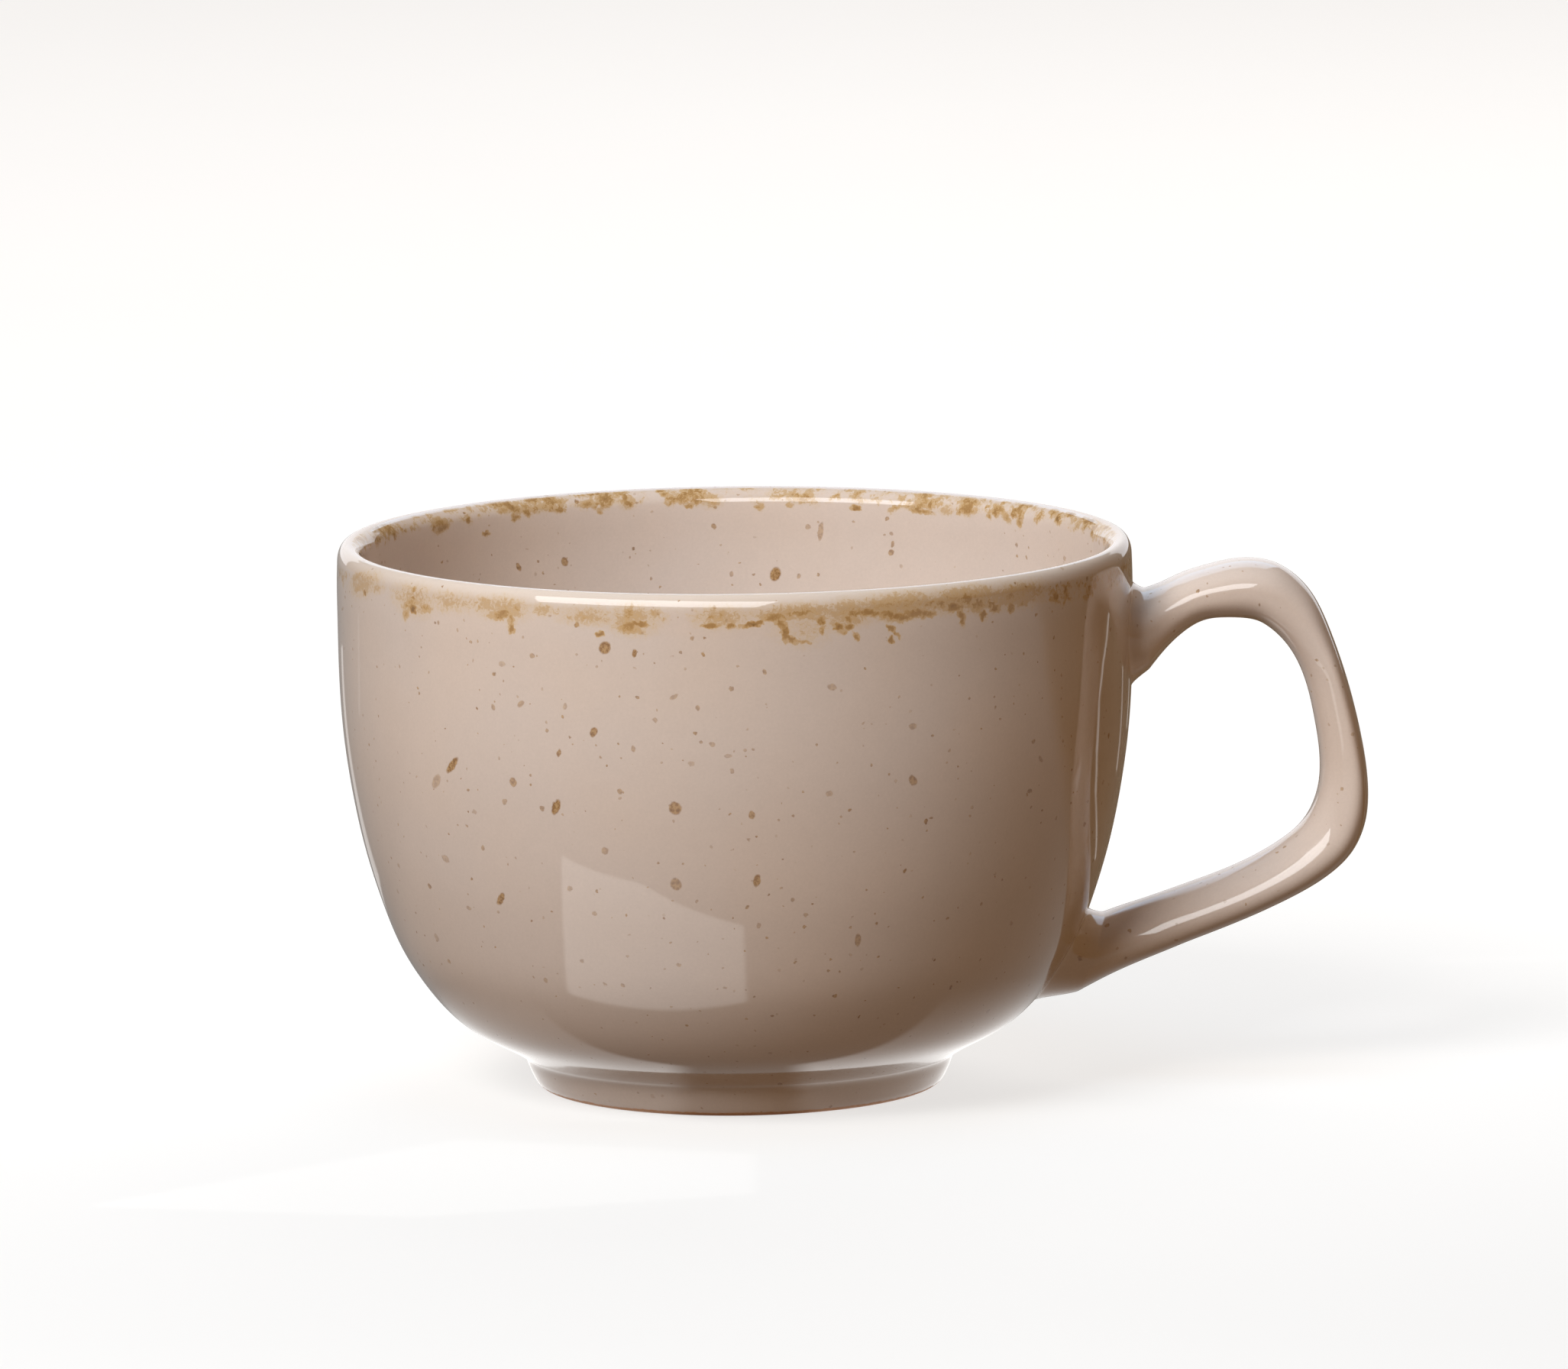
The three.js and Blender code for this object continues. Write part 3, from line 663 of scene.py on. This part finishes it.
def glaze(name, side=None, bare=False, painted_light_lift=1.0):
    """The speckled glaze. side: None away from the bowl, else "wall", "rim" or "in" for the bowl's
    zones; lift: how much paler than the wall it is made, painted light that stands in for the stronger light on the
    inside and the handle."""
    mat = bpy.data.materials.new(name)
    mat.use_nodes = True
    tree = mat.node_tree
    tree.nodes.clear()
    g = Graph(tree)
    coord = g.node("ShaderNodeTexCoord").outputs["Object"]
    p = g.vec("SCALE", coord, scale=1000.0)                    # millimetres

    # base tone: slow warm and cool clouds, fine grain
    cloud, _ = g.noise(p, 0.035, 2.0, 0.55)
    grain, _ = g.noise(p, 3.0, 2.0, 0.7)
    mottle, _ = g.noise(p, 0.45, 3.0, 0.6)
    # painted light where lift is above 1: the whole base tone is made paler to stand in for more light
    colour = g.mix(g.step(cloud, 0.3, 0.7), [c * painted_light_lift for c in BASE_WARM[:3]] + [1.0],
                   [c * painted_light_lift for c in BASE_COOL[:3]] + [1.0])
    shade = g.add(g.mul(g.math("SUBTRACT", grain, 0.5), 0.11), g.mul(g.math("SUBTRACT", mottle, 0.5), 0.06))
    shade = g.add(shade, 1.0)
    colour = g.vec("SCALE", colour, scale=shade)

    # wobble, so that specks aren't clean circles
    _, wob = g.noise(p, 1.6, 1.0, 0.6)
    wob = g.vec("SUBTRACT", wob, (0.5, 0.5, 0.5))
    pw = g.vec("ADD", p, g.vec("SCALE", wob, scale=0.5))

    # scattered specks: three sizes
    speck = None
    for cell, least, most, share, weight, shift in ((1.35, 0.11, 0.23, 0.34, 0.80, 3.0),
                                                    (2.9, 0.15, 0.38, 0.44, 0.92, 11.0),
                                                    (7.5, 0.20, 0.56, 0.35, 0.95, 27.0)):
        dist, rnd = g.cells(g.vec("ADD", pw, (shift, shift * 1.7, shift * 0.6)), 1.0 / cell)
        rx = g.split(rnd)
        have = g.math("GREATER_THAN", rx[0], share)
        radius = g.math("MULTIPLY_ADD", rx[1], (most - least) / cell, least / cell)
        dot = g.mul(g.step(g.math("DIVIDE", dist, radius), 1.1, 0.7), have)
        dot = g.mul(dot, g.math("MULTIPLY_ADD", rx[2], 0.70 * weight, 0.30 * weight))
        if side in ("wall", "rim") and cell > 7:
            # the large ones on the front are placed one by one
            dot = g.mul(dot, g.step(g.split(p)[1], -6.0, 6.0))
        speck = dot if speck is None else g.math("MAXIMUM", speck, dot)

    if side:
        uv = g.node("ShaderNodeUVMap", uv_map="Glaze").outputs[0]
        u, s, _ = g.split(uv)
        inside = side == "in"

        def spots(rows, ragged, value_of, after):
            """The highest value of a list of ellipses, each waiting for the one before it."""
            flat = g.vec("MULTIPLY", g.vec("SCALE", wob, scale=ragged), (1.0, 1.0, 0.0))
            spot = g.vec("ADD", g.vec("ADD", uv, flat), (0.0, 0.0, 1.0))
            best = None
            for deg, z, half_l, half_w, tilt, strength in rows:
                # seen from the front the map's second axis runs down outside and up inside
                ratio = g.ellipse(spot, lip_place(deg, z, inside), math.radians(tilt if inside else -tilt),
                                  (half_l, half_w), after if best is None else best)
                value = value_of(ratio, strength)
                best = value if best is None else g.math("MAXIMUM", best, value)
            return best

        listed = SPECKS_IN if inside else [
            row for row in SPECKS_OUT if (row[1] < RIM_Z + 2 if side == "wall" else row[1] > RIM_Z - 2)]
        big = spots(listed, 0.32, lambda ratio, strength: g.mul(g.step(ratio, 1.45, 0.6), strength), None)
        speck = g.math("MAXIMUM", speck, big)

    if side in ("rim", "in"):
        # brown band along the lip: blots and bits of colour that the glaze left where it ran
        field = spots(BLOTS_IN if inside else BLOTS_OUT, 0.85,
                      lambda ratio, strength: g.math("MULTIPLY_ADD", ratio, -0.42 * strength, strength), big)
        down = g.mul(s, -1.0) if inside else s
        ramp = g.node("ShaderNodeValToRGB")
        ramp.color_ramp.interpolation = "EASE"
        stops = ramp.color_ramp.elements
        for k, (deg, amount) in enumerate(BAND_IN if inside else BAND_OUT):
            at = (deg + 270.0) / 360.0
            e = stops[0] if k == 0 else (stops[1] if k == 1 else stops.new(at))
            e.position = at
            e.color = (amount, amount, amount, 1.0)
        g.put(ramp.inputs[0], g.math("MULTIPLY_ADD", u, 1.0 / 289.027, 0.75))
        amount = ramp.outputs[0]
        drift = g.vec("ADD", g.join(u, down, 4.0 if inside else 0.0), g.vec("SCALE", wob, scale=1.1))
        blot, _ = g.noise(drift, 0.40, 4.0, 0.62)
        fine, _ = g.noise(drift, 1.9, 3.0, 0.72)
        lobe, _ = g.noise(g.join(u, g.mul(down, 0.25), 13.0), 0.30, 3.0, 0.6)
        blot = g.math("SUBTRACT", blot, 0.5)
        fine = g.math("SUBTRACT", fine, 0.5)
        if inside:
            edge = g.add(g.mul(g.math("SUBTRACT", lobe, 0.5), 4.2), g.add(g.mul(amount, 1.3), 1.9))
            top = g.step(down, 0.1, 0.9)
        else:
            edge = g.add(g.mul(g.math("SUBTRACT", lobe, 0.5), 5.5), g.add(g.mul(amount, 1.9), 3.1))
            top = g.step(g.math("MULTIPLY_ADD", fine, 1.6, down), 1.3, 3.0)
        window = g.mul(top, g.step(g.math("SUBTRACT", edge, down), -0.5, 0.9))
        loose = g.math("MULTIPLY_ADD", blot, g.math("MULTIPLY_ADD", amount, 2.2, 1.3),
                       g.math("MULTIPLY_ADD", amount, 0.30, 0.60))
        loose = g.math("MULTIPLY_ADD", window, loose, -0.5)
        tone = g.math("MULTIPLY_ADD", fine, 0.85, g.math("MAXIMUM", field, loose))
        tone = g.math("MULTIPLY_ADD", blot, 0.35, tone)
        # pale zone along the lip, where the glaze has run thin
        pale = g.mul(g.step(s, -0.6, 0.3),
                     g.step(g.math("MULTIPLY_ADD", g.math("SUBTRACT", mottle, 0.5), 3.0, s), 3.4, 1.0))
        colour = g.mix(g.mul(pale, 0.4), colour, CREAM)
        # it bleeds out into the glaze: a wash, then tan, then brown cores
        colour = g.mix(g.step(tone, -0.16, 0.42, 0.0, 0.55), colour, WASH)
        warm = g.mix(g.step(tone, 0.42, 0.88), TAN, BROWN)
        warm = g.mix(g.step(tone, 0.90, 1.25, 0.0, 0.75), warm, DARK)
        colour = g.mix(g.step(tone, 0.14, 0.70, 0.0, 0.92), colour, warm)
        rim_line = g.step(g.math("ABSOLUTE", g.math("SUBTRACT", tone, 0.40)), 0.12, 0.02, 0.0, 0.22)
        colour = g.mix(rim_line, colour, BROWN)

    # speck colour: brown, uneven, darker in places
    tint, _ = g.noise(p, 2.6, 2.0, 0.65)
    speck_colour = g.mix(g.step(tint, 0.38, 0.60), SPECK_LIGHT, SPECK_DARK)
    speck_colour = g.mix(g.step(tint, 0.58, 0.72, 0.0, 0.65), speck_colour, DARK)
    colour = g.mix(g.math("MULTIPLY", speck, 0.95, clamp=True), colour, speck_colour)

    rough = g.math("MULTIPLY_ADD", mottle, 0.03, 0.02)
    rough = g.add(rough, g.mul(speck, 0.10))

    # height: slow waviness of the fired glaze and a fine orange peel
    wave, _ = g.noise(p, 0.085, 1.0, 0.5)
    peel, _ = g.noise(p, 0.75, 1.0, 0.5)
    height = g.add(g.mul(wave, 0.000020), g.mul(peel, 0.0000006))

    shader = g.node("ShaderNodeBsdfPrincipled")
    if bare:
        z = g.split(p)[2]
        ragged, _ = g.noise(p, 0.9, 3.0, 0.6)
        clay_edge = g.add(g.mul(g.math("SUBTRACT", ragged, 0.5), 0.4), 0.52)
        clay = g.step(g.math("SUBTRACT", clay_edge, z), -0.10, 0.10)
        sand, _ = g.noise(p, 3.2, 4.0, 0.7)
        clay_colour = g.mix(g.step(sand, 0.3, 0.7), CLAY, (0.50, 0.26, 0.115, 1.0))
        colour = g.mix(clay, colour, clay_colour)
        rough = g.add(rough, g.mul(clay, 0.55))
        height = g.add(height, g.mul(g.mul(sand, clay), 0.00003))
    bump = g.node("ShaderNodeBump")
    bump.inputs["Strength"].default_value = 1.0
    bump.inputs["Distance"].default_value = 1.0
    g.put(bump.inputs["Height"], height)
    g.put(shader.inputs["Base Color"], colour)
    g.put(shader.inputs["Roughness"], rough)
    g.put(shader.inputs["Normal"], bump.outputs[0])
    shader.inputs["IOR"].default_value = 1.52
    out = g.node("ShaderNodeOutputMaterial")
    tree.links.new(shader.outputs[0], out.inputs[0])
    return mat


wall_glaze = glaze("bowl_glaze_wall", side="wall")
rim_glaze = glaze("bowl_glaze_rim", side="rim")
# painted light: the inside and the handle get the wall's glaze made 6% paler, standing in for the stronger light they
# catch
inside_glaze = glaze("bowl_glaze_inside", side="in", painted_light_lift=1.06)
strap_glaze = glaze("handle_glaze", painted_light_lift=1.06)
foot_glaze = glaze("foot_glaze", bare=True)

for piece, node, slot, mat in (
    (bowl, "bowl", "glaze", (wall_glaze, rim_glaze, inside_glaze)),
    (foot, "foot_ring", "foot", (foot_glaze,)),
    (handle, "handle", "glaze", (strap_glaze,)),
    (upper_joint, "upper_handle_joint", "glaze", (strap_glaze,)),
    (lower_joint, "lower_handle_joint", "glaze", (strap_glaze,)),
):
    for one in mat:
        piece.data.materials.append(one)
    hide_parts(node)
    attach(piece, "root")

# ------------------------------------------------------------------ floor

floor_mesh = bpy.data.meshes.new("floor")
n_floor, size_floor = 24, 6.0
fv = [(-size_floor + 2 * size_floor * i / n_floor, -size_floor + 2 * size_floor * j / n_floor, -0.00005)
      for j in range(n_floor + 1) for i in range(n_floor + 1)]
ff = [(j * (n_floor + 1) + i, j * (n_floor + 1) + i + 1, (j + 1) * (n_floor + 1) + i + 1, (j + 1) * (n_floor + 1) + i)
      for j in range(n_floor) for i in range(n_floor)]
floor_mesh.from_pydata(fv, [], ff)
floor = bpy.data.objects.new("floor", floor_mesh)
scene.collection.objects.link(floor)
floor_mat = bpy.data.materials.new("floor_paper")
floor_mat.use_nodes = True
ft = floor_mat.node_tree
fg = Graph(ft)
fshader = ft.nodes["Principled BSDF"]
fcoord = fg.node("ShaderNodeTexCoord").outputs["Object"]
fnoise, _ = fg.noise(fcoord, 6.0, 3.0, 0.5)
fg.put(fshader.inputs["Base Color"], fg.mix(fnoise, (0.28, 0.278, 0.274, 1.0), (0.31, 0.308, 0.304, 1.0)))
fshader.inputs["Roughness"].default_value = 0.9
fshader.inputs["Specular IOR Level"].default_value = 0.1
# the floor glows of itself, more towards the back, so that it shows white with only a faint shadow
fshader.inputs["Emission Color"].default_value = (1.0, 0.995, 0.985, 1.0)
fy = fg.split(fcoord)[1]
fg.put(fshader.inputs["Emission Strength"], fg.step(fy, -0.16, 0.12, 0.58, 0.76))
floor_mesh.materials.append(floor_mat)
floor.visible_diffuse = False
floor.visible_glossy = False       # a sheet of its own is what the glaze mirrors

# ------------------------------------------------------------------ light

cup_centre = Vector((AXIS_X / 1000.0, 0.0, 0.034))


def softbox(name, azimuth, elevation, distance, width, height, power, colour=(1, 1, 1), target=None):
    """An area light seen from the cup at that azimuth (0 front, + towards the handle) and elevation."""
    a, e = math.radians(azimuth), math.radians(elevation)
    target = target or cup_centre
    place = target + distance * Vector((math.sin(a) * math.cos(e), -math.cos(a) * math.cos(e), math.sin(e)))
    light = bpy.data.lights.new(name, "AREA")
    light.shape = "RECTANGLE"
    light.size, light.size_y = width, height
    light.energy = power
    light.color = colour
    obj = bpy.data.objects.new(name, light)
    scene.collection.objects.link(obj)
    back = (place - target).normalized()
    side = Vector((0, 0, 1)).cross(back).normalized()
    up = back.cross(side)
    m = Matrix((side, up, back)).transposed().to_4x4()
    m.translation = place
    obj.matrix_world = m
    return obj


# what the glaze mirrors of the table: a sheet of light under and around the cup, seen by
# gloss only; millimetres from the bowl's axis
sheet_mesh = bpy.data.meshes.new("table_light")
sheet_mesh.from_pydata([(-0.9, -0.5, -0.00002), (0.9, -0.5, -0.00002), (0.9, 2.2, -0.00002), (-0.9, 2.2, -0.00002)],
                       [], [(0, 1, 2, 3)])
sheet = bpy.data.objects.new("table_light", sheet_mesh)
scene.collection.objects.link(sheet)
sheet_mat = bpy.data.materials.new("table_light")
sheet_mat.use_nodes = True
sheet_mat.cycles.emission_sampling = "NONE"
sheet_mat.node_tree.nodes.clear()
sg = Graph(sheet_mat.node_tree)
spot = sg.vec("SCALE", sg.node("ShaderNodeTexCoord").outputs["Object"], scale=1000.0)
spot = sg.vec("ADD", spot, (-AXIS_X, 0.0, 1.0))
spot = sg.vec("MULTIPLY", spot, (1.0, 1.0, 0.0))
spot = sg.vec("ADD", spot, (0.0, 0.0, 1.0))
sx, sy, _ = sg.split(spot)


def beyond(one, two, soft):
    """1 on the left of the line from one to two, 0 on its right."""
    dx, dy = two[0] - one[0], two[1] - one[1]
    size = math.hypot(dx, dy)
    away = sg.vec("DOT_PRODUCT", spot, (-dy / size, dx / size, (dy * one[0] - dx * one[1]) / size))
    return sg.step(away, -soft, soft)


def area(corners, soft):
    inside = None
    for one, two in zip(corners, corners[1:] + corners[:1]):
        part = beyond(one, two, soft)
        inside = part if inside is None else sg.mul(inside, part)
    return inside


def ribbon(one, two, width, soft):
    """A straight strip of that width from one point to the other."""
    dx, dy = two[0] - one[0], two[1] - one[1]
    size = math.hypot(dx, dy)
    nx, ny = -dy / size * width / 2, dx / size * width / 2
    return area([(one[0] - nx, one[1] - ny), (two[0] - nx, two[1] - ny),
                 (two[0] + nx, two[1] + ny), (one[0] + nx, one[1] + ny)], soft)


near = sg.step(sg.vec("LENGTH", sg.vec("ADD", sg.vec("MULTIPLY", spot, (1.0, 1.0, 0.0)), (0.0, -5.0, 0.0))), 50.0, 28.0)
shine = sg.mul(sg.mul(near, sg.step(sy, -26.4, -24.6)), 1.02)
shine = sg.mul(shine, sg.step(sg.math("ABSOLUTE", sx), 5.0, 10.0))
for shape, level in (
    (area([(1.5, -46.0), (-32.0, -35.0), (-73.0, -73.0), (-36.0, -81.5), (1.5, -70.0)], 0.9), 1.5),
    (ribbon((-66.0, 88.0), (-150.0, 325.0), 20.0, 3.0), 0.5),
    (ribbon((-190.0, 185.0), (-290.0, 285.0), 8.0, 2.0), 0.2),
    (ribbon((84.0, 76.0), (128.6, 81.0), 4.0, 1.0), 0.6),
    (ribbon((128.6, 81.0), (165.0, 101.0), 5.0, 1.0), 0.75),
    (ribbon((165.0, 101.0), (237.0, 156.0), 6.0, 1.2), 0.85),
    (ribbon((237.0, 156.0), (272.0, 205.0), 7.0, 1.5), 0.95),
    (ribbon((272.0, 205.0), (292.0, 270.0), 7.0, 1.5), 0.95),
    (ribbon((112.0, 152.0), (185.0, 268.0), 7.0, 2.0), 0.4),
    (ribbon((100.0, 228.0), (134.0, 318.0), 9.0, 3.0), 0.4),
):
    shine = sg.math("MULTIPLY_ADD", shape, level, shine)
rear_side = sg.step(sy, 15.0, 60.0)
dim = sg.mul(rear_side, sg.step(sx, 20.0, 55.0))          # the dark side, behind the handle
table = sg.node("ShaderNodeEmission")
sg.put(table.inputs["Color"], sg.mix(dim, (1.0, 0.975, 0.95, 1.0), (1.0, 0.72, 0.46, 1.0)))
sg.put(table.inputs["Strength"], sg.add(0.42, sg.add(sg.mul(rear_side, -0.12), sg.mul(dim, -0.13))))
glow = sg.node("ShaderNodeEmission")
glow.inputs["Color"].default_value = (1.0, 0.985, 0.97, 1.0)
sg.put(glow.inputs["Strength"], shine)
both = sg.node("ShaderNodeAddShader")
sheet_mat.node_tree.links.new(table.outputs[0], both.inputs[0])
sheet_mat.node_tree.links.new(glow.outputs[0], both.inputs[1])
sheet_mat.node_tree.links.new(both.outputs[0], sg.node("ShaderNodeOutputMaterial").inputs[0])
sheet_mesh.materials.append(sheet_mat)
sheet.visible_camera = False
sheet.visible_diffuse = False
sheet.visible_transmission = False
sheet.visible_shadow = False

key = softbox("key", -34, 38, 1.1, 0.5, 0.5, 14.0)
key.visible_glossy = False
card = softbox("front_card", -26, 29.5, 1.2, 1.5, 0.60, 18.5, (0.96, 0.98, 1.0))
card.visible_diffuse = False
rear_low = softbox("rear_card_low", 180, 9.5, 1.6, 1.8, 0.593, 3.35, (0.88, 0.92, 1.0))
rear_low.visible_diffuse = False
rear_high = softbox("rear_card_high", 180, 36.5, 1.6, 1.0, 0.948, 5.1, (0.6, 0.78, 1.0))
rear_high.visible_diffuse = False
fill = softbox("rear_fill", 160, 38, 1.2, 0.7, 0.7, 4.6, (1.0, 0.96, 0.93))
fill.visible_glossy = False
top = softbox("top_fill", -20, 82, 1.1, 0.6, 0.6, 2.9, (0.25, 0.64, 1.0))
top.visible_glossy = False
side_fill = softbox("side_fill", 70, 15, 1.2, 0.5, 0.5, 0.55, (1.0, 0.6, 0.22))
side_fill.visible_glossy = False

world = bpy.data.worlds.new("studio")
scene.world = world
world.use_nodes = True
wt = world.node_tree
wt.nodes.clear()
wg = Graph(wt)
direction = wg.node("ShaderNodeTexCoord").outputs["Generated"]
wx, wy, wz = wg.split(direction)
behind = wg.step(wy, 0.72, 0.95)
tone = wg.mix(behind, (0.20, 0.115, 0.055, 1.0), (0.30, 0.25, 0.20, 1.0))
background = wg.node("ShaderNodeBackground")
wg.put(background.inputs["Color"], tone)
background.inputs["Strength"].default_value = 1.0
wout = wg.node("ShaderNodeOutputWorld")
wt.links.new(background.outputs[0], wout.inputs[0])

scene.view_settings.view_transform = "Standard"

# ------------------------------------------------------------------ camera

IMAGE_W, IMAGE_H = 2053, 1792
FOCAL_PX, DISTANCE = 17235.1, 1.5264
ELEVATION, ROLL = math.radians(9.181), math.radians(-0.623)
CENTRE_X, CENTRE_Y = 963.41, 1063.49
aim = Vector((AXIS_X / 1000.0, 0.0, 0.031482))
eye = aim + DISTANCE * Vector((0, -math.cos(ELEVATION), math.sin(ELEVATION)))
fwd = Vector((0, math.cos(ELEVATION), -math.sin(ELEVATION)))
right = Vector((1, 0, 0))
up = right.cross(fwd)
pan = math.atan2(CENTRE_X - IMAGE_W / 2, FOCAL_PX)
tilt = math.atan2(CENTRE_Y - IMAGE_H / 2, FOCAL_PX)
right, fwd = right * math.cos(pan) + fwd * math.sin(pan), -right * math.sin(pan) + fwd * math.cos(pan)
up, fwd = up * math.cos(tilt) - fwd * math.sin(tilt), up * math.sin(tilt) + fwd * math.cos(tilt)
right, up = right * math.cos(ROLL) + up * math.sin(ROLL), -right * math.sin(ROLL) + up * math.cos(ROLL)
cam_data = bpy.data.cameras.new("camera")
cam_data.sensor_fit = "HORIZONTAL"
cam_data.sensor_width = 36.0
cam_data.lens = FOCAL_PX * 36.0 / IMAGE_W
cam_data.clip_start, cam_data.clip_end = 0.05, 50.0
camera = bpy.data.objects.new("camera", cam_data)
m = Matrix((right, up, -fwd)).transposed().to_4x4()
m.translation = eye
camera.matrix_world = m
scene.collection.objects.link(camera)
scene.camera = camera

# ------------------------------------------------------------------ update

bpy.context.view_layer.update()
